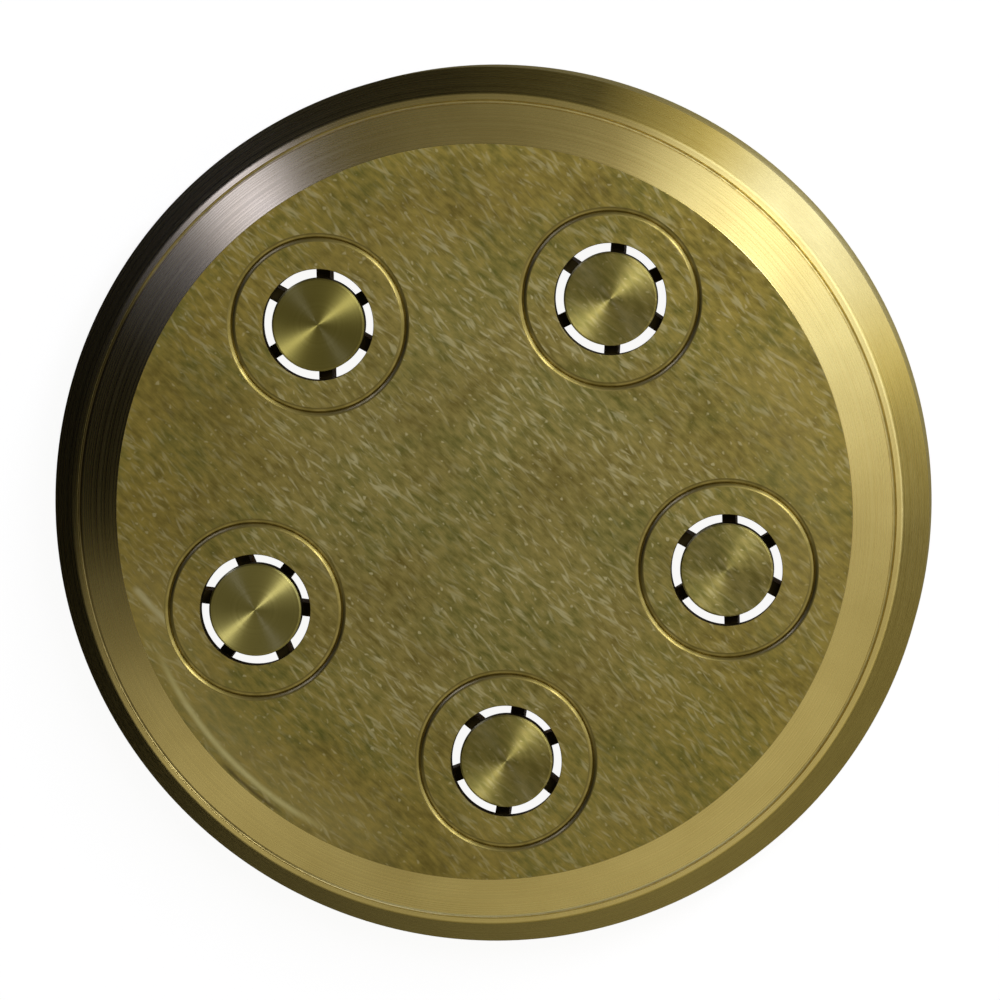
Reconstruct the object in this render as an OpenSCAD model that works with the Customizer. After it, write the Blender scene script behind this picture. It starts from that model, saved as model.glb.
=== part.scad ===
// Extrusion die that shapes dough into smooth tubes.
// The die lies on its back face, at Z = 0, and the dough comes in there.
// It leaves at the top, through a ring-shaped slot in each of the inserts.
// An insert is a bush, pushed in from the back, with a winged mandrel seated inside it.
// All sizes are in millimetres and all angles in degrees.

/* [Die body] */
// Widest diameter, at the rim
die_d = 78; // [74:0.5:90]
// Thickness from the back face to the outlet face
die_h = 16; // [14.5:0.5:22]
// Width of the bevel round the outlet face, seen from above
bevel_w = 4.3; // [3:0.05:5]
// Depth of the bevel
bevel_h = 2.4; // [1.5:0.1:3.5]
// Width of the seat cone between the bevel and the rim, seen from above
cone_w = 2.2; // [1.2:0.05:3]
// Depth of the seat cone
cone_h = 4.4; // [2.5:0.1:6]
// Chamfer at the back edge of the rim
back_chamfer = 2; // [0.5:0.1:3]
// Radius of the fine groove turned near the foot of the bevel
groove_r = 0.2; // [0.1:0.05:0.4]
// Width of the lip left between that groove and the seat cone
lip_w = 0.5; // [0.2:0.05:0.8]

/* [Inserts] */
// Number of inserts
insert_count = 5; // [3:1:5]
// Plain face left between a bush and the bevel
face_margin = 2.8; // [1.5:0.1:4]
// Outside diameter of a bush
bush_d = 15.4; // [13.8:0.1:17]
// How far the flange at the back stands out from the bush
flange_w = 1.8; // [1.4:0.1:2.4]
// Thickness of that flange
flange_h = 4.5; // [3.5:0.5:6]
// Chamfer on each of the two edges that meet round a bush
edge_chamfer = 0.2; // [0.1:0.05:0.4]
// Radial clearance between pieces that are pushed together
fit_gap = 0.01; // [0.005:0.005:0.05]

/* [Dough path] */
// Bore of the nozzle, which is the outside of the tube
nozzle_d = 9.8; // [8.5:0.1:11]
// Width of the ring-shaped slot, which is the wall of the tube
slot_w = 0.8; // [0.6:0.05:1.2]
// Length of the nozzle's straight land
land_h = 1.4; // [0.8:0.1:2]
// Length of the taper between the land and the chamber behind it
chamber_taper_h = 1.8; // [1:0.1:2.4]
// Depth of the shoulder that the mandrel seats on, below the outlet face
seat_depth = 5; // [4.5:0.1:6]
// Width of that shoulder
seat_w = 0.8; // [0.5:0.1:1]
// Wall of the bush round the feed bore, which holds the mandrel's wings
bush_wall = 1; // [0.7:0.1:1.2]
// How far the flare of the feed bore reaches past the flange
flare_run = 1; // [0.5:0.1:1.5]
// Flat rim left round the flared mouth at the back face
mouth_rim = 1.3; // [0.8:0.1:2]

/* [Mandrel] */
// Length of the tip's straight land
tip_h = 1.6; // [1:0.1:2.2]
// Chamfer round the tip
tip_chamfer = 0.15; // [0.05:0.05:0.3]
// Length of the taper between the tip and the hub
neck_h = 1.8; // [1:0.1:2.2]
// Diameter of the hub that carries the wings
hub_d = 5; // [4:0.1:6]
// Number of wings
wing_count = 6; // [3:1:8]
// Thickness of a wing
wing_t = 1.2; // [0.8:0.1:1.5]
// Length of a wing along the flow, up to its knife edge
wing_h = 3; // [2:0.1:3.5]
// Length of the knife edge that parts the dough
knife_h = 0.9; // [0.5:0.1:1.4]
// How far the hub runs on behind the wings
hub_run = 0.3; // [0.1:0.1:0.6]
// Length of the tail cone behind the hub
tail_h = 1.8; // [1:0.1:2.2]
// Diameter of the tail's blunt end
tail_d = 1.6; // [1:0.1:2.4]
// How far each mandrel happens to be turned in its bush
mandrel_turn = [44, 39, 44, 6, 34]; // [0:1:59]

/* [Hidden] */
$fn = 96;
groove_fn = 24;
overcut = 1;

body_colour = [0.66, 0.58, 0.30];
bush_colour = [0.64, 0.56, 0.29];
mandrel_colour = [0.60, 0.51, 0.22];

die_r = die_d / 2;
bevel_r = die_r - cone_w;
face_r = bevel_r - bevel_w;
bevel_z = die_h - bevel_h;
rim_z = bevel_z - cone_h;

groove_x = bevel_r - lip_w - groove_r;
groove_z = die_h - bevel_h * (groove_x - face_r) / bevel_w;

bush_r = bush_d / 2;
flange_r = bush_r + flange_w;
insert_circle_r = face_r - face_margin - bush_r;

nozzle_r = nozzle_d / 2;
feed_r = bush_r - bush_wall;
chamber_r = feed_r - seat_w;
mouth_r = flange_r - mouth_rim;
flare_z = flange_h + flare_run;
seat_z = die_h - seat_depth;

tip_r = nozzle_r - slot_w;
tip_z = die_h - tip_h;
hub_r = hub_d / 2;
tail_r = tail_d / 2;
wing_root = hub_r / 2;
wing_z = seat_z - wing_h;
knife_z = wing_z - knife_h;
hub_z = knife_z - hub_run;

insert_ids = [for (i = [1:insert_count]) i];

// Places its children on the axis of one insert
module at_insert(i) {
    angle = (i - 1) * 360 / insert_count;
    translate([insert_circle_r * cos(angle), insert_circle_r * sin(angle), 0])
        children();
}

// Stepped hole for one bush, chamfered at both faces and cut past them
module bush_hole() {
    hole_r = bush_r + fit_gap;
    step_r = flange_r + fit_gap;
    rotate_extrude()
        polygon([
            [0, -overcut],
            [step_r + edge_chamfer + overcut, -overcut],
            [step_r, edge_chamfer],
            [step_r, flange_h],
            [hole_r, flange_h],
            [hole_r, die_h - edge_chamfer],
            [hole_r + edge_chamfer + overcut, die_h + overcut],
            [0, die_h + overcut]
        ]);
}

// Fine groove that the turning tool leaves near the foot of the bevel
module bevel_groove() {
    rotate_extrude()
        translate([groove_x, groove_z])
            circle(r = groove_r, $fn = groove_fn);
}

// Turned disc with a stepped hole for each insert
module die_body() {
    color(body_colour)
        difference() {
            rotate_extrude()
                polygon([
                    [0, 0],
                    [die_r - back_chamfer, 0],
                    [die_r, back_chamfer],
                    [die_r, rim_z],
                    [bevel_r, bevel_z],
                    [face_r, die_h],
                    [0, die_h]
                ]);
            bevel_groove();
            for (i = insert_ids)
                at_insert(i) bush_hole();
        }
}

// Turned bush: the nose and the flange outside, and the whole dough path inside
module insert_bush(i) {
    color(bush_colour)
        at_insert(i)
            rotate_extrude()
                polygon([
                    [mouth_r, 0],
                    [flange_r - edge_chamfer, 0],
                    [flange_r, edge_chamfer],
                    [flange_r, flange_h],
                    [bush_r, flange_h],
                    [bush_r, die_h - edge_chamfer],
                    [bush_r - edge_chamfer, die_h],
                    [nozzle_r, die_h],
                    [nozzle_r, die_h - land_h],
                    [chamber_r, die_h - land_h - chamber_taper_h],
                    [chamber_r, seat_z],
                    [feed_r, seat_z],
                    [feed_r, flare_z]
                ]);
}

// One wing along +X, from inside the hub: flat where it seats, sharp where the dough meets it
module wing() {
    translate([wing_root, 0, 0])
        rotate([90, 0, 90])
            linear_extrude(feed_r - wing_root)
                polygon([
                    [-wing_t / 2, seat_z],
                    [-wing_t / 2, wing_z],
                    [0, knife_z],
                    [wing_t / 2, wing_z],
                    [wing_t / 2, seat_z]
                ]);
}

// All the wings, turned down to the bore that they are pushed into
module wings() {
    intersection() {
        for (k = [0:wing_count - 1])
            rotate(k * 360 / wing_count) wing();
        translate([0, 0, knife_z - overcut])
            cylinder(r = feed_r - fit_gap, h = seat_z - knife_z + 2 * overcut);
    }
}

// Turned pin: the tail, the hub, the neck and the tip that fills the nozzle's middle
module mandrel_pin() {
    rotate_extrude()
        polygon([
            [0, hub_z - tail_h],
            [tail_r, hub_z - tail_h],
            [hub_r, hub_z],
            [hub_r, tip_z - neck_h],
            [tip_r, tip_z],
            [tip_r, die_h - tip_chamfer],
            [tip_r - tip_chamfer, die_h],
            [0, die_h]
        ]);
}

// Pin and wings, cut from one bar
module mandrel(i) {
    turn = mandrel_turn[(i - 1) % len(mandrel_turn)];
    color(mandrel_colour)
        at_insert(i)
            rotate(turn)
                union() {
                    mandrel_pin();
                    wings();
                }
}

die_body();
for (i = insert_ids) {
    insert_bush(i);
    mandrel(i);
}
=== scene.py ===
"""Studio picture of a brass die for pasta tubes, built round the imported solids.

All lengths are in metres, in the frame of the solids: the die lies on its back face at Z = 0,
and the dough leaves at the top. Photo angles are in degrees, anticlockwise from the right.
"""

import math

import bmesh
import bpy
from mathutils import Matrix, Vector


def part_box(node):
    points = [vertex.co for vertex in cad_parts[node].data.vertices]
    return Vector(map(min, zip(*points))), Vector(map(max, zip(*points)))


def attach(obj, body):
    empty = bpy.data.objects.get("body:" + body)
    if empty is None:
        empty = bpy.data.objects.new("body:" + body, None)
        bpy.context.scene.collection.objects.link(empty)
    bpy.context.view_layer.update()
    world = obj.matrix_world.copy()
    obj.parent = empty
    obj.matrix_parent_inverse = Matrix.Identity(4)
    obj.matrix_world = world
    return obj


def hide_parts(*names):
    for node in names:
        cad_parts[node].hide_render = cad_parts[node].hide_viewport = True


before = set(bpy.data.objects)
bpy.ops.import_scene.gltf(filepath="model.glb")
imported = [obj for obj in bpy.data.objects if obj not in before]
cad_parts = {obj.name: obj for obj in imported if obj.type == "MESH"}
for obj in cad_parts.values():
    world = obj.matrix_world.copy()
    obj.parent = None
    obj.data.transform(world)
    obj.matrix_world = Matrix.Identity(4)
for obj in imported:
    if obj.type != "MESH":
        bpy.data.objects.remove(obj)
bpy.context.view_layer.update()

MM = 0.001

# Sizes of the die body
body_low, body_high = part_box("die_body")
DIE_R = (body_high.x - body_low.x) / 2
DIE_H = body_high.z
BEVEL_W = 4.3 * MM
BEVEL_H = 2.4 * MM
CONE_W = 2.2 * MM
CONE_H = 4.4 * MM
BACK_CHAMFER = 2 * MM
GROOVE_R = 0.2 * MM
LIP_W = 0.5 * MM
BEVEL_R = DIE_R - CONE_W
FACE_R = BEVEL_R - BEVEL_W
BEVEL_Z = DIE_H - BEVEL_H
RIM_Z = BEVEL_Z - CONE_H
GROOVE_MIDDLE_R = BEVEL_R - LIP_W - GROOVE_R

# Sizes of an insert
INSERT_COUNT = sum(name.startswith("insert_bush_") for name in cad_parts)
bush_low, bush_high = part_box("insert_bush_1")
FLANGE_R = bush_high.x - (bush_low.x + bush_high.x) / 2
FLANGE_W = 1.8 * MM
FLANGE_H = 4.5 * MM
EDGE_CHAMFER = 0.2 * MM
FIT_GAP = 0.01 * MM
NOZZLE_R = 4.9 * MM
SLOT_W = 0.8 * MM
LAND_H = 1.4 * MM
CHAMBER_TAPER_H = 1.8 * MM
SEAT_DEPTH = 5 * MM
SEAT_W = 0.8 * MM
BUSH_WALL = 1 * MM
FLARE_RUN = 1 * MM
MOUTH_RIM = 1.3 * MM
BUSH_R = FLANGE_R - FLANGE_W
FEED_R = BUSH_R - BUSH_WALL
CHAMBER_R = FEED_R - SEAT_W
MOUTH_R = FLANGE_R - MOUTH_RIM
FLARE_Z = FLANGE_H + FLARE_RUN
SEAT_Z = DIE_H - SEAT_DEPTH

# Sizes of a mandrel
TIP_H = 1.6 * MM
TIP_CHAMFER = 0.15 * MM
NECK_H = 1.8 * MM
HUB_R = 2.5 * MM
WING_COUNT = 6
WING_T = 1.2 * MM
WING_H = 3 * MM
KNIFE_H = 0.9 * MM
HUB_RUN = 0.3 * MM
TAIL_R = 0.8 * MM
MANDREL_TURN = (44, 39, 44, 6, 34)
TIP_R = NOZZLE_R - SLOT_W
TIP_Z = DIE_H - TIP_H
WING_Z = SEAT_Z - WING_H
KNIFE_Z = WING_Z - KNIFE_H
HUB_Z = KNIFE_Z - HUB_RUN
TAIL_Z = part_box("mandrel_1")[0].z

# Fineness of the meshes, and the radii and borders of their edges
BODY_SEGMENTS = 288
INSERT_SEGMENTS = 144
ARC_STEPS = 4
GROOVE_STEPS = 8
EDGE_R = 0.12 * MM
LIP_EDGE_R = 0.6 * MM
SEAM_EDGE_R = 0.45 * MM
FINE_EDGE_R = 0.04 * MM
HOLD = 0.03 * MM
FLAT_BORDER = 0.3 * MM

# Limits that tell flat faces, undersides, the groove and sharp edges apart
FLAT = 0.999
UNDERSIDE = 0.1
GROOVE_FLOOR_W = 0.8 * GROOVE_R
SHARP_ANGLE = 35

# The photograph's view of the die
PHOTO_PX = 1000
FACE_CENTRE_PX = (482.5, 513.5)
FACE_WIDTH_PX = 740
PHOTO_TURN = 13.1
CAMERA_TILT = 7.4
CAMERA_TILT_TOWARDS = 45
CAMERA_DISTANCE = 0.6
CLIP_START = 6 * MM
SENSOR_MM = 36
METRES_PER_PX = 2 * FACE_R / FACE_WIDTH_PX


def photo_direction(angle, elevation=0):
    """Unit vector towards an angle of the photograph, raised above the horizon."""
    turn = math.radians(angle + PHOTO_TURN)
    rise = math.radians(elevation)
    return Vector((math.cos(turn) * math.cos(rise), math.sin(turn) * math.cos(rise), math.sin(rise)))


def face_point(pixel):
    """Point on the face that the photograph shows at a pixel."""
    right = (pixel[0] - FACE_CENTRE_PX[0]) * METRES_PER_PX
    up = (FACE_CENTRE_PX[1] - pixel[1]) * METRES_PER_PX
    return Vector((0, 0, DIE_H)) + photo_direction(0) * right + photo_direction(90) * up


# Mesh helpers

def rounded(corners):
    """Profile points with each corner that has an edge radius turned into an arc between flats."""
    points = []
    for k, (r, z, edge) in enumerate(corners):
        here = Vector((r, z))
        if not edge:
            points.append(here)
            continue
        before = (Vector(corners[k - 1][:2]) - here).normalized()
        after = (Vector(corners[(k + 1) % len(corners)][:2]) - here).normalized()
        half = before.angle(after) / 2
        reach = edge / math.tan(half)
        centre = here + (before + after).normalized() * edge / math.sin(half)
        start = here + before * reach - centre
        sweep = -math.copysign(math.pi - 2 * half, before.cross(after))
        points.append(here + before * (reach + HOLD))
        for step in range(ARC_STEPS + 1):
            points.append(centre + Matrix.Rotation(sweep * step / ARC_STEPS, 2) @ start)
        points.append(here + after * (reach + HOLD))
    return points


def lathe(bm, points, centre, segments, closed=False):
    """Turns a profile round the upright axis through centre, and returns its rings of vertices."""
    turns = [math.tau * k / segments for k in range(segments)]
    rings = []
    for point in points:
        ring = [
            bm.verts.new((centre.x + point.x * math.cos(t), centre.y + point.x * math.sin(t), point.y))
            for t in turns
        ]
        rings.append(ring)
    followers = rings[1:] + rings[:1] if closed else rings[1:]
    for ring, follower in zip(rings, followers):
        for k in range(segments):
            bm.faces.new((ring[k - 1], ring[k], follower[k], follower[k - 1]))
    return rings


def fill_flat(bm, loops):
    """Fills the flat area between loops of vertices."""
    edges = [bm.edges.get((loop[k - 1], loop[k])) for loop in loops for k in range(len(loop))]
    bmesh.ops.triangle_fill(bm, use_beauty=True, edges=edges)


def add_object(name, bm, materials=()):
    """Puts a finished mesh into the scene as an object."""
    mesh = bpy.data.meshes.new(name)
    bm.to_mesh(mesh)
    bm.free()
    for material in materials:
        mesh.materials.append(material)
    item = bpy.data.objects.new(name, mesh)
    bpy.context.scene.collection.objects.link(item)
    return item


def finish_piece(name, bm, location, materials, choose):
    """Makes an object of the mesh and gives each face the material that choose picks for it."""
    bmesh.ops.recalc_face_normals(bm, faces=bm.faces)
    for face in bm.faces:
        face.smooth = True
        face.material_index = materials.index(choose(face))
    piece = add_object(name, bm, materials)
    piece.location = location
    # Radial tangents run round the middle of the texture space, so it lies on the axis of the piece
    piece.data.use_auto_texspace = False
    piece.data.texspace_location = (0, 0, 0)
    piece.data.texspace_size = (DIE_R, DIE_R, DIE_R)
    return piece


def insert_axis(i):
    """Foot of an insert's axis on the back face."""
    low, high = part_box(f"insert_bush_{i}")
    middle = (low + high) / 2
    return Vector((middle.x, middle.y, 0))


axes = [insert_axis(i) for i in range(1, INSERT_COUNT + 1)]


# Material helpers

def add_node(tree, kind, inputs=None, **settings):
    """Adds a node, sets its options and inputs, and links the inputs that are sockets."""
    node = tree.nodes.new(kind)
    for key, value in settings.items():
        setattr(node, key, value)
    for key, value in (inputs or {}).items():
        if isinstance(value, bpy.types.NodeSocket):
            tree.links.new(value, node.inputs[key])
        else:
            node.inputs[key].default_value = value
    return node


def math_node(tree, operation, *values):
    """Result of one sum on numbers or sockets."""
    return add_node(tree, "ShaderNodeMath", dict(enumerate(values)), operation=operation).outputs[0]


def vector_node(tree, operation, *values):
    """Outputs of one sum on vectors or sockets."""
    return add_node(tree, "ShaderNodeVectorMath", dict(enumerate(values)), operation=operation).outputs


def across_axis(tree, position):
    """Part of a position that lies square to the upright axis."""
    return vector_node(tree, "MULTIPLY", position, (1, 1, 0))["Vector"]


def axis_distance(tree, position):
    """Distance of a position from the upright axis."""
    return vector_node(tree, "LENGTH", across_axis(tree, position))["Value"]


def weighted(tree, *parts):
    """Sum of values, each times its weight."""
    total = 0.0
    for value, weight in parts:
        total = math_node(tree, "MULTIPLY_ADD", value, weight, total)
    return total


def span(tree, value, low, high, to_low=0.0, to_high=1.0):
    """Value moved smoothly from one range to another, and held at the ends."""
    inputs = {"Value": value, "From Min": low, "From Max": high, "To Min": to_low, "To Max": to_high}
    return add_node(tree, "ShaderNodeMapRange", inputs, interpolation_type="SMOOTHSTEP").outputs[0]


def grain(tree, position, angle, length, width, detail=2.0):
    """Noise whose marks have this length and width and lie along an angle, from 0 to 1."""
    marks = add_node(
        tree, "ShaderNodeMapping",
        {"Vector": position, "Rotation": (0, 0, math.radians(angle)), "Scale": (length, width, width)},
        vector_type="TEXTURE",
    ).outputs[0]
    inputs = {"Vector": marks, "Scale": 1.0, "Detail": detail}
    return add_node(tree, "ShaderNodeTexNoise", inputs).outputs["Fac"]


def turned_lines(tree, across, pitch):
    """Noise that changes only across the turned lines."""
    inputs = {"W": math_node(tree, "DIVIDE", across, pitch), "Scale": 1.0}
    return add_node(tree, "ShaderNodeTexNoise", inputs, noise_dimensions="1D").outputs["Fac"]


def blend(tree, share, first, second):
    """Mix of two colours by a share from 0 to 1."""
    inputs = {"Fac": share, "Color1": first, "Color2": second}
    return add_node(tree, "ShaderNodeMixRGB", inputs).outputs[0]


def bump(tree, height, depth, strength):
    """Normal of a surface with relief of this depth."""
    inputs = {"Height": height, "Distance": depth, "Strength": strength}
    return add_node(tree, "ShaderNodeBump", inputs).outputs[0]


def brass(name):
    """New metal material, and its node tree and shader."""
    material = bpy.data.materials.new(name)
    material.use_nodes = True
    tree = material.node_tree
    shader = tree.nodes["Principled BSDF"]
    shader.distribution = "GGX"
    shader.inputs["Metallic"].default_value = 1.0
    return material, tree, shader


def brush_round(tree, shader, anisotropy):
    """Stretches the gloss across lines that run round the axis of the piece."""
    shader.inputs["Anisotropic"].default_value = anisotropy
    shader.inputs["Anisotropic Rotation"].default_value = QUARTER_TURN
    tangent = add_node(tree, "ShaderNodeTangent", direction_type="RADIAL", axis="Z")
    tree.links.new(tangent.outputs[0], shader.inputs["Tangent"])


def dress(tree, shader, colour, roughness, normal):
    """Links the varied inputs of a metal shader."""
    tree.links.new(colour, shader.inputs["Base Color"])
    tree.links.new(roughness, shader.inputs["Roughness"])
    tree.links.new(normal, shader.inputs["Normal"])


# Brass colours
PLAIN_BRASS = (0.76, 0.60, 0.20, 1)
FACE_BRASS = (0.60, 0.478, 0.130, 1)
FACE_EDGE_BRASS = (0.62, 0.465, 0.092, 1)
GREEN_BRASS = (0.185, 0.178, 0.032, 1)
BROWN_BRASS = (0.225, 0.168, 0.030, 1)
SCRATCH_AND_SHEEN_BRASS = (0.90, 0.79, 0.36, 1)
SCUFF_BRASS = (0.98, 0.85, 0.32, 1)
# The next three colours carry stains and the painted shade of holes, slots and the groove
STAIN_AND_SHADE_BRASS = (0.16, 0.115, 0.035, 1)
DARK_BRASS = (0.06, 0.042, 0.012, 1)
BORE_SHADE_TINT = (0.12, 0.09, 0.04, 1)
FEED_EDGE = (0.8, 0.75, 0.6, 1)

# Pairs of brass colours, the darker one first
TURNED_COLOURS = ((0.66, 0.51, 0.16, 1), PLAIN_BRASS)
GROOVE_COLOURS = ((0.56, 0.44, 0.14, 1), (0.68, 0.54, 0.18, 1))
TIP_COLOURS = ((0.34, 0.28, 0.06, 1), (0.44, 0.375, 0.09, 1))
GLINT_COLOURS = ((0.43, 0.365, 0.095, 1), (0.54, 0.465, 0.135, 1))
WORN_COLOURS = ((0.46, 0.375, 0.085, 1), (0.56, 0.47, 0.12, 1))
SEAM_COLOURS = ((0.32, 0.25, 0.06, 1), (0.42, 0.33, 0.09, 1))
FEED_COLOURS = ((0.36, 0.27, 0.075, 1), (0.60, 0.47, 0.15, 1))

# Marks of the sanded face: their directions, lengths and widths
PHOTO_STROKE_ANGLE = -43
STROKE_ANGLE = PHOTO_TURN + PHOTO_STROKE_ANGLE
STROKE_LEANS = (-13, 9)
STROKE_SHIFT = 7 * MM
STROKE_SIZE = (1.9 * MM, 0.38 * MM)
SPECK_SIZE = (0.55 * MM, 0.42 * MM)
SPECKLE_SIZE = (1.2 * MM, 0.52 * MM)
HAIR_SIZE = (3.0 * MM, 0.12 * MM)
PATCH_SIZE = (9 * MM, 6 * MM)
TINT_SIZE = (8 * MM, 6 * MM)
TINT_ANGLE = 30
FACE_FADE_R = (12 * MM, 31 * MM)

# Ranges of noise between which each mark comes in, and shares of the marks in the tone
STROKE_RANGE = (0.56, 0.75)
SPECK_RANGE = (0.71, 0.84)
PATCH_RANGE = (0.28, 0.58)
TINT_RANGE = (0.38, 0.62)
TONE_RANGE = (0.27, 0.71)
STAIN_RANGE = (0.35, 0.65)
WIDE_RANGE = (0.3, 0.7)
SPECKLE_SHARE = 0.58
HAIR_SHARE = 0.18
PATCH_SHARE = 0.24
TONE_RELIEF_SHARE = 0.5
FINE_LINE_SHARE = 0.6
TURNED_LINE_SHARE = 0.5
BORED_LINE_SHARE = 0.4
SCRATCH_STRENGTHS = (0.7, 0.5)

# Roughness and relief of each finish, and the sizes of its lines and stains
FACE_ROUGHNESS = (0.50, 0.40)
EASED_ROUGHNESS = (0.38, 0.30)
BORED_ROUGHNESS = (0.45, 0.62)
ROUGHNESS_SPREAD = 0.05
RELIEF_DEPTH = 0.01 * MM
BORED_RELIEF_DEPTH = 0.02 * MM
FACE_RELIEF = 0.2
TURNED_RELIEF = 0.12
EASED_RELIEF = 0.1
BORED_RELIEF = 0.3
TURNED_PITCH = 0.09 * MM
TIP_PITCH = 0.05 * MM
BORED_PITCH = 0.15 * MM
COARSE_LINES = 5
TURNED_PATCH = 5 * MM
EASED_STAIN = 1.2 * MM
BORED_STAIN = 1.5 * MM
QUARTER_TURN = 0.25

# Marks along arcs round the axis: middle angle, half span, radii in millimetres, colour and strength
FACE_MARKS = (
    (221, 40, (25, 31, 34), PLAIN_BRASS, 0.30),
    # The next four marks lighten the right side and the bottom and darken the top and the left: painted
    # light and painted shade.
    (4, 34, (20, 29, 34), PLAIN_BRASS, 0.17),
    (284, 26, (22, 29, 34), PLAIN_BRASS, 0.10),
    (92, 38, (20, 29, 34), STAIN_AND_SHADE_BRASS, 0.15),
    (172, 30, (18, 28, 34), STAIN_AND_SHADE_BRASS, 0.11),
    (223, 22, (31.0, 31.45, 31.9), SCUFF_BRASS, 0.85),
    (229.5, 7, (31.95, 32.2, 32.45), STAIN_AND_SHADE_BRASS, 0.75),
)
GROOVE_BAND = (33, 36, 39)
# Marks on the groove: darker on the left and lower left, painted shade, and paler at the bottom, painted
# light
GROOVE_MARKS = (
    (167, 25, GROOVE_BAND, DARK_BRASS, 0.92),
    (212, 36, GROOVE_BAND, DARK_BRASS, 0.42),
    (282, 44, GROOVE_BAND, SCRATCH_AND_SHEEN_BRASS, 0.85),
)

# Pale streak between two pixels of the photograph, which fades over the last part of its half length
STREAK_PX = ((127, 586), (171, 633))
STREAK_W = 1.0 * MM
STREAK_STRENGTH = 0.8
STREAK_FADE = (0.7, 1.0)


def sanded_marks(tree, position):
    """Bright scratches and the uneven tone of a surface rubbed down by hand, each from 0 to 1."""
    patches = grain(tree, position, STROKE_ANGLE, *PATCH_SIZE, detail=4.0)
    scratches = 0.0
    for k, lean in enumerate(STROKE_LEANS):
        place = vector_node(tree, "ADD", position, (0, 0, k * STROKE_SHIFT))["Vector"]
        strokes = grain(tree, place, STROKE_ANGLE + lean, *STROKE_SIZE, detail=1.0)
        scratches = math_node(tree, "MAXIMUM", scratches, span(tree, strokes, *STROKE_RANGE))
    scratches = math_node(tree, "MULTIPLY", scratches, span(tree, patches, *PATCH_RANGE))
    specks = grain(tree, position, STROKE_ANGLE, *SPECK_SIZE, detail=0.0)
    scratches = math_node(tree, "MAXIMUM", scratches, span(tree, specks, *SPECK_RANGE))
    speckle = grain(tree, position, STROKE_ANGLE, *SPECKLE_SIZE, detail=3.0)
    hairs = grain(tree, position, STROKE_ANGLE, *HAIR_SIZE, detail=2.0)
    tone = weighted(tree, (hairs, HAIR_SHARE), (speckle, SPECKLE_SHARE), (patches, PATCH_SHARE))
    return scratches, span(tree, tone, *TONE_RANGE)


def arc_mark(tree, position, angle, half_span, radii):
    """Mark along an arc round the axis, from 0 to 1, that fades at its ends and across its width."""
    low, middle, high = radii
    radius = axis_distance(tree, position)
    inside = span(tree, radius, low, middle)
    across = math_node(tree, "MULTIPLY", inside, span(tree, radius, middle, high, 1.0, 0.0))
    outward = vector_node(tree, "NORMALIZE", across_axis(tree, position))["Vector"]
    facing = vector_node(tree, "DOT_PRODUCT", outward, photo_direction(angle))["Value"]
    ends = (math.cos(math.radians(half_span)), math.cos(math.radians(half_span / 2)))
    return math_node(tree, "MULTIPLY", across, span(tree, facing, *ends))


def marked(tree, position, colour, marks):
    """Colour with marks laid over it along arcs round the axis."""
    for angle, half_span, radii, mark_colour, strength in marks:
        mark = arc_mark(tree, position, angle, half_span, [r * MM for r in radii])
        colour = blend(tree, math_node(tree, "MULTIPLY", mark, strength), colour, mark_colour)
    return colour


def line_mark(tree, position, start, end, width):
    """Straight mark between two points of the face, from 0 to 1, that fades at its ends and sides."""
    run = end - start
    turn = math.atan2(run.y, run.x)
    local = add_node(
        tree, "ShaderNodeMapping",
        {"Vector": position, "Location": (start + end) / 2, "Rotation": (0, 0, turn),
         "Scale": (run.length / 2, width / 2, 1)},
        vector_type="TEXTURE",
    ).outputs[0]
    sides = add_node(tree, "ShaderNodeSeparateXYZ", {0: local}).outputs
    along = span(tree, math_node(tree, "ABSOLUTE", sides["X"]), *STREAK_FADE, 1.0, 0.0)
    across = span(tree, math_node(tree, "ABSOLUTE", sides["Y"]), 0.0, 1.0, 1.0, 0.0)
    return math_node(tree, "MULTIPLY", along, across)


def sanded_colour(tree, position, scratches, tone):
    """Colour of a rubbed surface, which runs from green and brown in its low places to pale scratches."""
    tint = grain(tree, position, TINT_ANGLE, *TINT_SIZE, detail=4.0)
    stained = blend(tree, span(tree, tint, *TINT_RANGE), GREEN_BRASS, BROWN_BRASS)
    radius = axis_distance(tree, position)
    bare = blend(tree, span(tree, radius, *FACE_FADE_R), FACE_BRASS, FACE_EDGE_BRASS)
    colour = blend(tree, tone, stained, bare)
    strength = span(tree, radius, *FACE_FADE_R, *SCRATCH_STRENGTHS)
    return blend(tree, math_node(tree, "MULTIPLY", scratches, strength), colour, SCRATCH_AND_SHEEN_BRASS)


def sanded_brass():
    """Face that was rubbed down by hand, with short strokes that cross at low angles."""
    material, tree, shader = brass("sanded_brass")
    position = add_node(tree, "ShaderNodeNewGeometry").outputs["Position"]
    scratches, tone = sanded_marks(tree, position)
    colour = sanded_colour(tree, position, scratches, tone)
    # Arc marks, among them painted light and painted shade on the sides of the face
    colour = marked(tree, position, colour, FACE_MARKS)
    streak = line_mark(tree, position, *(face_point(pixel) for pixel in STREAK_PX), STREAK_W)
    colour = blend(tree, math_node(tree, "MULTIPLY", streak, STREAK_STRENGTH), colour, SCRATCH_AND_SHEEN_BRASS)
    roughness = span(tree, tone, 0.0, 1.0, *FACE_ROUGHNESS)
    relief = weighted(tree, (scratches, 1.0), (tone, TONE_RELIEF_SHARE))
    dress(tree, shader, colour, roughness, bump(tree, relief, RELIEF_DEPTH, FACE_RELIEF))
    return material


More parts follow.
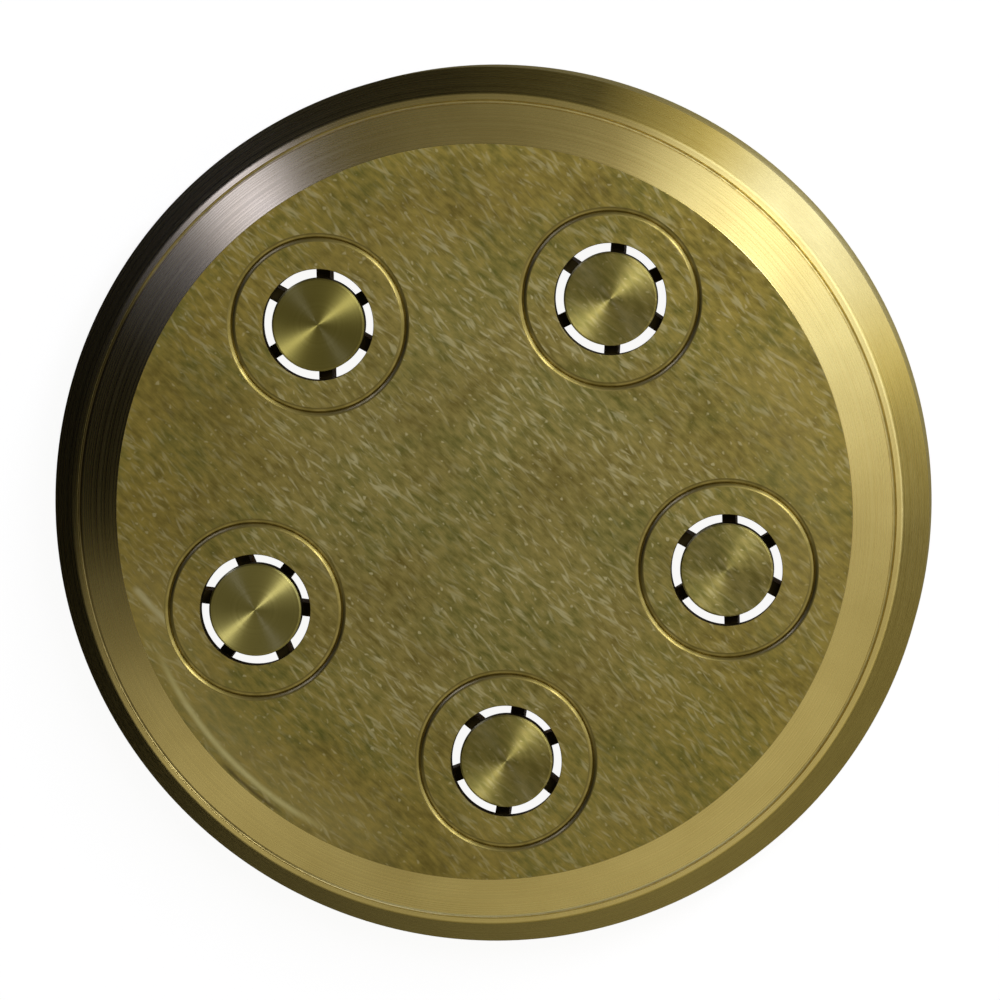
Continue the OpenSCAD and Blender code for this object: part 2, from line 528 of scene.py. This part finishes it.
def turned_brass(name, colours, pitch, anisotropy, roughness, rubbed=0.0):
    """Surface left by a lathe, with fine lines round the axis of the piece, more or less rubbed."""
    material, tree, shader = brass(name)
    brush_round(tree, shader, anisotropy)
    position = add_node(tree, "ShaderNodeTexCoord").outputs["Object"]
    depth = add_node(tree, "ShaderNodeSeparateXYZ", {0: position}).outputs["Z"]
    across = math_node(tree, "SUBTRACT", axis_distance(tree, position), depth)
    fine = turned_lines(tree, across, pitch)
    coarse = turned_lines(tree, across, COARSE_LINES * pitch)
    lines = weighted(tree, (coarse, 1 - FINE_LINE_SHARE), (fine, FINE_LINE_SHARE))
    patches = grain(tree, position, 0, TURNED_PATCH, TURNED_PATCH)
    tone = weighted(tree, (lines, TURNED_LINE_SHARE), (patches, 1 - TURNED_LINE_SHARE))
    colour = blend(tree, span(tree, tone, *WIDE_RANGE), *colours)
    if rubbed:
        scratches, rubs = sanded_marks(tree, position)
        colour = blend(tree, rubbed, colour, sanded_colour(tree, position, scratches, rubs))
    rough = span(tree, lines, *WIDE_RANGE, roughness - ROUGHNESS_SPREAD, roughness + ROUGHNESS_SPREAD)
    dress(tree, shader, colour, rough, bump(tree, lines, RELIEF_DEPTH, TURNED_RELIEF))
    return material


def eased_brass(name, colours, marks=()):
    """Eased edges and grooves, dulled by cleaning, with the marks given laid over along arcs; on the
    groove they are painted shade and painted light.
    """
    material, tree, shader = brass(name)
    position = add_node(tree, "ShaderNodeNewGeometry").outputs["Position"]
    stains = grain(tree, position, 0, EASED_STAIN, EASED_STAIN)
    colour = blend(tree, span(tree, stains, *STAIN_RANGE), *colours)
    colour = marked(tree, position, colour, marks)
    roughness = span(tree, stains, *WIDE_RANGE, *EASED_ROUGHNESS)
    dress(tree, shader, colour, roughness, bump(tree, stains, RELIEF_DEPTH, EASED_RELIEF))
    return material


def bored_brass(name, colours, edge):
    """Walls of the dough path and of the fits in the colours given, with their own tint at a low angle;
    on the inner walls both are dark, as painted shade.
    """
    material, tree, shader = brass(name)
    shader.inputs["Specular Tint"].default_value = edge
    position = add_node(tree, "ShaderNodeTexCoord").outputs["Object"]
    depth = add_node(tree, "ShaderNodeSeparateXYZ", {0: position}).outputs["Z"]
    lines = turned_lines(tree, depth, BORED_PITCH)
    stains = grain(tree, position, 0, BORED_STAIN, BORED_STAIN, detail=3.0)
    tone = weighted(tree, (lines, BORED_LINE_SHARE), (stains, 1 - BORED_LINE_SHARE))
    colour = blend(tree, span(tree, tone, *STAIN_RANGE), *colours)
    roughness = span(tree, stains, *WIDE_RANGE, *BORED_ROUGHNESS)
    dress(tree, shader, colour, roughness, bump(tree, lines, BORED_RELIEF_DEPTH, BORED_RELIEF))
    return material


sanded = sanded_brass()
turned = turned_brass("turned_brass", TURNED_COLOURS, TURNED_PITCH, anisotropy=0.7, roughness=0.28)
tip_turned = turned_brass("tip_turned_brass", TIP_COLOURS, TIP_PITCH, anisotropy=0.97, roughness=0.42)
# Lighter copy of the tip finish, whose brighter colour is a painted highlight that strengthens one tip's
# glint
painted_glint_tip = turned_brass("painted_glint_tip_brass", GLINT_COLOURS, TIP_PITCH, anisotropy=0.97, roughness=0.35)
tip_worn = turned_brass(
    "tip_worn_brass", WORN_COLOURS, TIP_PITCH, anisotropy=0.85, roughness=0.42, rubbed=0.6,
)
tip_rubbed = turned_brass(
    "tip_rubbed_brass", WORN_COLOURS, TIP_PITCH, anisotropy=0.6, roughness=0.45, rubbed=0.85,
)
seam = eased_brass("seam_brass", SEAM_COLOURS)
grooved = eased_brass("groove_brass", GROOVE_COLOURS, GROOVE_MARKS)
# Dark brass and a dark tint at low angles for the inner walls, wings and slots: painted shade in the
# holes
shaded_bore = bored_brass("bored_brass", (DARK_BRASS, STAIN_AND_SHADE_BRASS), BORE_SHADE_TINT)
feed = bored_brass("feed_brass", FEED_COLOURS, FEED_EDGE)
TIP_FINISHES = (tip_rubbed, tip_worn, tip_turned, painted_glint_tip, tip_worn)


# Die body

def bevel_height(r):
    """Height of the bevel at a distance from the axis."""
    return DIE_H - BEVEL_H * (r - FACE_R) / BEVEL_W


def groove_corners():
    """Profile of the fine groove near the foot of the bevel."""
    along = Vector((BEVEL_W, -BEVEL_H)).normalized()
    middle = Vector((GROOVE_MIDDLE_R, bevel_height(GROOVE_MIDDLE_R)))
    corners = []
    for step in range(GROOVE_STEPS + 1):
        spoke = Matrix.Rotation(math.pi * step / GROOVE_STEPS, 2) @ (along * -GROOVE_R)
        at_lip = step in (0, GROOVE_STEPS)
        corners.append((*(middle + spoke), FINE_EDGE_R / 2 if at_lip else 0))
    return corners


def outer_corners():
    """Profile of the body's outside, from the outlet face down to the back."""
    return [
        (FACE_R - FLAT_BORDER, DIE_H, 0),
        (FACE_R, DIE_H, EDGE_R),
        *groove_corners(),
        (BEVEL_R, BEVEL_Z, LIP_EDGE_R),
        (DIE_R, RIM_Z, EDGE_R),
        (DIE_R, BACK_CHAMFER, EDGE_R),
        (DIE_R - BACK_CHAMFER, 0, EDGE_R),
        (DIE_R - BACK_CHAMFER - FLAT_BORDER, 0, 0),
    ]


def hole_corners():
    """Profile of the stepped hole for a bush, from the outlet face down to the back."""
    hole_r = BUSH_R + FIT_GAP
    step_r = FLANGE_R + FIT_GAP
    return [
        (hole_r + EDGE_CHAMFER + FLAT_BORDER, DIE_H, 0),
        (hole_r + EDGE_CHAMFER, DIE_H, SEAM_EDGE_R),
        (hole_r, DIE_H - EDGE_CHAMFER, FINE_EDGE_R),
        (hole_r, FLANGE_H, FINE_EDGE_R),
        (step_r, FLANGE_H, FINE_EDGE_R),
        (step_r, EDGE_CHAMFER, FINE_EDGE_R),
        (step_r + EDGE_CHAMFER, 0, FINE_EDGE_R),
        (step_r + EDGE_CHAMFER + FLAT_BORDER, 0, 0),
    ]


def body_finish(face):
    """Material of one face of the body."""
    middle = face.calc_center_median()
    in_hole = any((middle - axis).xy.length < FLANGE_R + EDGE_CHAMFER for axis in axes)
    if face.normal.z > FLAT:
        return sanded
    if in_hole and middle.z > DIE_H - EDGE_CHAMFER:
        return seam
    at_groove = abs(middle.xy.length - GROOVE_MIDDLE_R) < GROOVE_FLOOR_W
    if at_groove and BEVEL_Z < middle.z < bevel_height(GROOVE_MIDDLE_R):
        return grooved
    return shaded_bore if in_hole and face.normal.z > -FLAT else turned


def make_body():
    """Disc with a stepped hole for each insert."""
    bm = bmesh.new()
    outside = lathe(bm, rounded(outer_corners()), Vector((0, 0, 0)), BODY_SEGMENTS)
    holes = [lathe(bm, rounded(hole_corners()), axis, INSERT_SEGMENTS) for axis in axes]
    for end in (0, -1):
        fill_flat(bm, [outside[end]] + [hole[end] for hole in holes])
    return finish_piece("body", bm, (0, 0, 0), [sanded, seam, turned, grooved, shaded_bore], body_finish)


# Insert bushes

def bush_corners():
    """Profile of a bush, round from the mouth of the feed bore."""
    return [
        (MOUTH_R, 0, FINE_EDGE_R),
        (FLANGE_R - EDGE_CHAMFER, 0, FINE_EDGE_R),
        (FLANGE_R, EDGE_CHAMFER, FINE_EDGE_R),
        (FLANGE_R, FLANGE_H, FINE_EDGE_R),
        (BUSH_R, FLANGE_H, FINE_EDGE_R),
        (BUSH_R, DIE_H - EDGE_CHAMFER, FINE_EDGE_R),
        (BUSH_R - EDGE_CHAMFER, DIE_H, SEAM_EDGE_R),
        (NOZZLE_R, DIE_H, FINE_EDGE_R),
        (NOZZLE_R, DIE_H - LAND_H, FINE_EDGE_R),
        (CHAMBER_R, DIE_H - LAND_H - CHAMBER_TAPER_H, FINE_EDGE_R),
        (CHAMBER_R, SEAT_Z, FINE_EDGE_R),
        (FEED_R, SEAT_Z, FINE_EDGE_R),
        (FEED_R, FLARE_Z, FINE_EDGE_R),
    ]


def bush_finish(face):
    """Material of one face of a bush."""
    middle = face.calc_center_median()
    if face.normal.z > FLAT:
        return sanded
    if middle.z > DIE_H - EDGE_CHAMFER and middle.xy.length > (NOZZLE_R + BUSH_R) / 2:
        return seam
    if face.normal.z < -FLAT and middle.z < EDGE_CHAMFER:
        return turned
    return feed if middle.z < SEAT_Z and middle.xy.length < BUSH_R else shaded_bore


def make_bush(i):
    """Turned bush that forms the outside of the dough path."""
    bm = bmesh.new()
    lathe(bm, rounded(bush_corners()), Vector((0, 0, 0)), INSERT_SEGMENTS, closed=True)
    return finish_piece(f"bush_{i}", bm, insert_axis(i), [sanded, seam, turned, feed, shaded_bore], bush_finish)


# Mandrels

def pin_corners():
    """Profile of a mandrel's pin, from the tail up to the tip."""
    corners = [
        (TAIL_R, TAIL_Z),
        (HUB_R, HUB_Z),
        (HUB_R, TIP_Z - NECK_H),
        (TIP_R, TIP_Z),
        (TIP_R, DIE_H - TIP_CHAMFER),
        (TIP_R - TIP_CHAMFER, DIE_H),
    ]
    core = TAIL_R / 2
    rounds = [(r, z, FINE_EDGE_R) for r, z in corners]
    return [(core, TAIL_Z, 0), *rounds, (core, DIE_H, 0)]


def add_wing(bm, turn):
    """One wing, flat where it seats and sharp where the dough meets it, from inside the hub."""
    outline = [
        (-WING_T / 2, SEAT_Z),
        (-WING_T / 2, WING_Z),
        (0, KNIFE_Z),
        (WING_T / 2, WING_Z),
        (WING_T / 2, SEAT_Z),
    ]
    spin = Matrix.Rotation(turn, 3, "Z")
    tip_r = FEED_R - FIT_GAP
    root = [bm.verts.new(spin @ Vector((HUB_R / 2, y, z))) for y, z in outline]
    tip = [bm.verts.new(spin @ Vector((math.sqrt(tip_r ** 2 - y ** 2), y, z))) for y, z in outline]
    bm.faces.new(root)
    bm.faces.new(tip)
    for k in range(len(outline)):
        bm.faces.new((root[k - 1], root[k], tip[k], tip[k - 1]))


def joined(name, first, second):
    """Mesh of the union of two closed meshes."""
    operands = []
    for part in (first, second):
        bmesh.ops.recalc_face_normals(part, faces=part.faces)
        operands.append(add_object(name, part))
    union = operands[0].modifiers.new("union", "BOOLEAN")
    union.operation = "UNION"
    union.solver = "EXACT"
    union.object = operands[1]
    bm = bmesh.new()
    bm.from_object(operands[0], bpy.context.evaluated_depsgraph_get())
    for operand in operands:
        bpy.data.meshes.remove(operand.data)
    return bm


def make_mandrel(i):
    """Pin that fills the middle of the nozzle, with the wings that carry it."""
    pin = bmesh.new()
    ends = lathe(pin, rounded(pin_corners()), Vector((0, 0, 0)), INSERT_SEGMENTS)
    pin.faces.new(ends[0])
    pin.faces.new(ends[-1])
    wings = bmesh.new()
    for k in range(WING_COUNT):
        add_wing(wings, math.tau * k / WING_COUNT + math.radians(MANDREL_TURN[i - 1]))
    bm = joined(f"mandrel_union_{i}", pin, wings)
    tip = TIP_FINISHES[i - 1]

    def pin_finish(face):
        if face.calc_center_median().z > DIE_H - TIP_CHAMFER:
            return tip
        return feed if face.normal.z < -UNDERSIDE else shaded_bore

    piece = finish_piece(f"pin_{i}", bm, insert_axis(i), [tip, feed, shaded_bore], pin_finish)
    piece.data.set_sharp_from_angle(angle=math.radians(SHARP_ANGLE))
    return piece


body = make_body()
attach(body, "root")
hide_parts("die_body")

for number in range(1, INSERT_COUNT + 1):
    bush = make_bush(number)
    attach(bush, "root")
    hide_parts(f"insert_bush_{number}")
    mandrel = make_mandrel(number)
    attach(mandrel, "root")
    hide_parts(f"mandrel_{number}")


# Stage and light
FLOOR_SIZE = 12
FLOOR_Z = -0.02 * MM
FLOOR_GLOW = 0.92
FLOOR_COLOUR = (0.25, 0.25, 0.25, 1)
WORLD_COLOUR = (1.0, 0.96, 0.84, 1)
WORLD_STRENGTH = 0.2
KEY_COLOUR = (0.96, 1.0, 1.25)
KEY_POWER = 0.5
KEY_SIZE = (0.055, 0.27)
KEY_DISTANCE = 0.5
KEY_ANGLE = 44
KEY_ELEVATION = 62
CARD_STEP = 3
WALL_R = 0.6
WALL_H = 1.4
WALL_FADE = 0.15
SKIRT_H = 0.12
STRIP_R = 0.55
STRIP_FOOT_Z = 0.12
STRIP_TOP_Z = 0.6
FLOOR_CARD_Z = 0.05 * MM
CONTACT_FOOT_R = DIE_R - BACK_CHAMFER
CONTACT_R = 44 * MM
WARM = (1.0, 0.98, 0.94, 1)
GOLD = (1.0, 0.94, 0.55, 1)
COOL = (0.94, 1.05, 1.45, 1)
LILAC = (0.36, 0.41, 1.2, 1)
WARM_LEVEL = 0.5
COOL_LEVEL = 1.5

# Light levels of the cards by photo angle
WALL_LEVELS = (
    (-70, 0.68), (-40, 0.71), (-20, 0.63), (-8, 0.71), (11, 1.15), (28, 1.54), (38, 1.40), (45, 1.06),
    (54, 1.43), (61, 1.48), (66, 0.66), (71, 0.44), (79, 0.31), (96, 0.24), (122, 0.13), (158, 0.0),
    (187, 0.0), (199, 0.18), (212, 0.48), (225, 0.71), (250, 0.47), (290, 0.68),
)
FLOOR_LEVELS = (
    (-68, 0.20), (-40, 0.18), (-6, 0.19), (11, 0.43), (28, 1.10), (45, 1.6), (62, 0.48), (76, 0.06),
    (96, 0.012), (130, 0.0), (212, 0.0), (225, 0.02), (250, 0.09), (292, 0.20),
)
SKIRT_LEVELS = (
    (-68, 0.4), (-20, 0.9), (5, 2.0), (45, 4.5), (60, 2.4), (70, 0.3), (96, 0.05), (130, 0.0),
    (212, 0.0), (250, 0.25), (292, 0.4),
)
# The contact card is dimmer than the floor card: painted shadow round the die's foot, seen only in
# reflections
CONTACT_LEVELS = ((-68, 0.05), (45, 0.25), (130, 0.0), (212, 0.0), (292, 0.05))
STRIP_LEVELS = ((127, 0.1), (131, 3.8), (138, 4.0), (141.5, 1.3), (145, 0.35), (150, 0.2), (161, 0.0))


def make_floor():
    """Pale floor that shows as white, keeps a soft shadow and is open from below."""
    material = bpy.data.materials.new("pale_floor")
    material.use_nodes = True
    tree = material.node_tree
    tree.nodes.clear()
    rays = add_node(tree, "ShaderNodeLightPath").outputs
    seen = math_node(tree, "MAXIMUM", rays["Is Camera Ray"], rays["Is Glossy Ray"])
    seen = math_node(tree, "MAXIMUM", seen, rays["Is Transmission Ray"])
    glow = math_node(tree, "MULTIPLY", seen, FLOOR_GLOW)
    matt = add_node(tree, "ShaderNodeBsdfDiffuse", {"Color": FLOOR_COLOUR}).outputs[0]
    white = add_node(tree, "ShaderNodeEmission", {"Color": (1, 1, 1, 1), "Strength": glow}).outputs[0]
    lit = add_node(tree, "ShaderNodeAddShader", {0: matt, 1: white}).outputs[0]
    below = add_node(tree, "ShaderNodeNewGeometry").outputs["Backfacing"]
    clear = add_node(tree, "ShaderNodeBsdfTransparent").outputs[0]
    shown = add_node(tree, "ShaderNodeMixShader", {0: below, 1: lit, 2: clear}).outputs[0]
    add_node(tree, "ShaderNodeOutputMaterial", {"Surface": shown})
    bm = bmesh.new()
    bmesh.ops.create_grid(bm, x_segments=1, y_segments=1, size=FLOOR_SIZE / 2)
    floor = add_object("floor", bm, [material])
    floor.location.z = FLOOR_Z


def level_at(levels, angle):
    """Light level at a photo angle, between the levels given on either side of it."""
    for (start, low), (end, high) in zip(levels, levels[1:]):
        if angle <= end:
            return low + (high - low) * (angle - start) / (end - start)


def make_card(name, levels, foot, head, colours, fade=1.0):
    """Curved card round the die that only reflections see, from a foot to a head (radius, height).

    It takes the first colour where it is dim and the second where it is bright, and fades to its head.
    """
    material = bpy.data.materials.new(name)
    material.use_nodes = True
    tree = material.node_tree
    tree.nodes.clear()
    level = add_node(tree, "ShaderNodeAttribute", attribute_name="level").outputs["Fac"]
    shown = blend(tree, span(tree, level, WARM_LEVEL, COOL_LEVEL), *colours)
    glow = add_node(tree, "ShaderNodeEmission", {"Color": shown, "Strength": level}).outputs[0]
    add_node(tree, "ShaderNodeOutputMaterial", {"Surface": glow})
    bm = bmesh.new()
    layer = bm.verts.layers.float.new("level")
    first, last = levels[0][0], levels[-1][0]
    steps = round((last - first) / CARD_STEP)
    rows = []
    for step in range(steps + 1):
        angle = first + (last - first) * step / steps
        row = [bm.verts.new(photo_direction(angle) * r + Vector((0, 0, z))) for r, z in (foot, head)]
        row[0][layer] = level_at(levels, angle)
        row[1][layer] = level_at(levels, angle) * fade
        rows.append(row)
    for row, follower in zip(rows, rows[1:]):
        bm.faces.new((row[0], row[1], follower[1], follower[0]))
    card = add_object(name, bm, [material])
    card.visible_camera = False
    card.visible_diffuse = False
    card.visible_shadow = False


def make_key():
    """Tall soft lamp that looks down at the die."""
    light = bpy.data.lights.new("key", "AREA")
    light.shape = "RECTANGLE"
    light.size, light.size_y = KEY_SIZE
    light.energy = KEY_POWER
    light.color = KEY_COLOUR
    lamp = bpy.data.objects.new("key", light)
    lamp.location = photo_direction(KEY_ANGLE, KEY_ELEVATION) * KEY_DISTANCE
    lamp.rotation_euler = lamp.location.to_track_quat("Z", "Y").to_euler()
    lamp.visible_camera = False
    bpy.context.scene.collection.objects.link(lamp)


def make_world():
    """Even warm light from all round."""
    world = bpy.data.worlds.new("studio")
    world.use_nodes = True
    sky = world.node_tree.nodes["Background"]
    sky.inputs["Color"].default_value = WORLD_COLOUR
    sky.inputs["Strength"].default_value = WORLD_STRENGTH
    bpy.context.scene.world = world


def make_camera():
    """Camera at the photograph's angle, aimed so that the face lands where the photograph has it."""
    away = Vector((0, 0, 1)) * math.cos(math.radians(CAMERA_TILT))
    away += photo_direction(CAMERA_TILT_TOWARDS) * math.sin(math.radians(CAMERA_TILT))
    right = photo_direction(0)
    right = (right - away * right.dot(away)).normalized()
    up = away.cross(right)
    aim = face_point((PHOTO_PX / 2, PHOTO_PX / 2))
    data = bpy.data.cameras.new("camera")
    data.sensor_width = SENSOR_MM
    data.lens = SENSOR_MM * CAMERA_DISTANCE / (PHOTO_PX * METRES_PER_PX)
    data.clip_start = CLIP_START
    camera = bpy.data.objects.new("camera", data)
    placed = Matrix((right, up, away)).transposed().to_4x4()
    placed.translation = aim + away * CAMERA_DISTANCE
    camera.matrix_world = placed
    bpy.context.scene.collection.objects.link(camera)
    bpy.context.scene.camera = camera


make_floor()
make_world()
make_camera()
make_key()
contact_foot = (CONTACT_FOOT_R, FLOOR_CARD_Z)
contact_edge = (CONTACT_R, FLOOR_CARD_Z)
wall_foot = (WALL_R, FLOOR_CARD_Z)
skirt_top = (WALL_R, SKIRT_H)
make_card("contact_card", CONTACT_LEVELS, contact_foot, contact_edge, (GOLD, GOLD))
make_card("floor_card", FLOOR_LEVELS, contact_edge, wall_foot, (GOLD, COOL))
make_card("skirt_card", SKIRT_LEVELS, wall_foot, skirt_top, (GOLD, COOL))
make_card("wall_card", WALL_LEVELS, skirt_top, (WALL_R, WALL_H), (WARM, COOL), WALL_FADE)
make_card("cool_strip", STRIP_LEVELS, (STRIP_R, STRIP_FOOT_Z), (STRIP_R, STRIP_TOP_Z), (LILAC, LILAC))

bpy.context.scene.view_settings.view_transform = "Standard"
